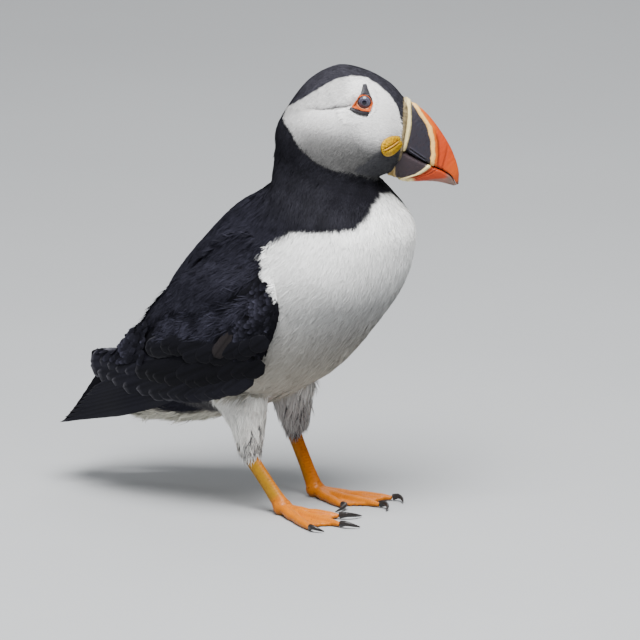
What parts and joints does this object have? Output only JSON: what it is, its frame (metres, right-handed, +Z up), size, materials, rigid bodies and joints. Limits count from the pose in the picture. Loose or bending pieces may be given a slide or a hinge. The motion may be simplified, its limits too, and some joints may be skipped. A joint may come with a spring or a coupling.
{
  "type": "standing puffin",
  "caption": "Life-size standing seabird with a tall triangular banded bill, black back and wings, white breast, head turned to its left, and webbed feet flat on the floor.",
  "frame": {"origin": "on the floor under the middle of the bird's length and width", "axes": "+X the way the body faces, +Y the bird's left, +Z up; the head is turned 30 degrees towards +Y"},
  "size_m": [0.1879, 0.0948, 0.2112],
  "materials": {
    "plumage_breast": "soft matt plumage, white below and black above",
    "plumage_rump": "soft matt loose plumage, black above and white below",
    "plumage_neck": "soft matt black plumage",
    "plumage_head": "soft matt plumage, pale face under a black crown",
    "plumage_thigh": "loose matt white plumage with grey streaks",
    "flight_feather": "satin black-brown feather",
    "bill_upper": "satin horn, blue-grey base and red outer half with pale ridges",
    "bill_lower": "satin horn, blue-grey base and red outer half with pale ridges",
    "gape_rosette": "wrinkled satin skin",
    "eye": "wet gloss",
    "leg_skin": "scaled satin skin",
    "claw_horn": "satin black horn"
  },
  "bodies": {
    "root": {"breast": "plumage_breast", "rump": "plumage_rump", "neck": "plumage_neck", "head": "plumage_head", "upper_bill": "bill_upper", "lower_bill": "bill_lower", "eye_right": "eye", "eye_left": "eye", "rosette_right": "gape_rosette", "rosette_left": "gape_rosette", "wing_right": "flight_feather", "wing_left": "flight_feather", "tail": "flight_feather", "thigh_right": "plumage_thigh", "thigh_left": "plumage_thigh", "tarsus_right": "leg_skin", "tarsus_left": "leg_skin", "foot_right": "leg_skin", "foot_left": "leg_skin", "claw_right_inner": "claw_horn", "claw_right_middle": "claw_horn", "claw_right_outer": "claw_horn", "claw_left_inner": "claw_horn", "claw_left_middle": "claw_horn", "claw_left_outer": "claw_horn"}
  },
  "joints": []
}
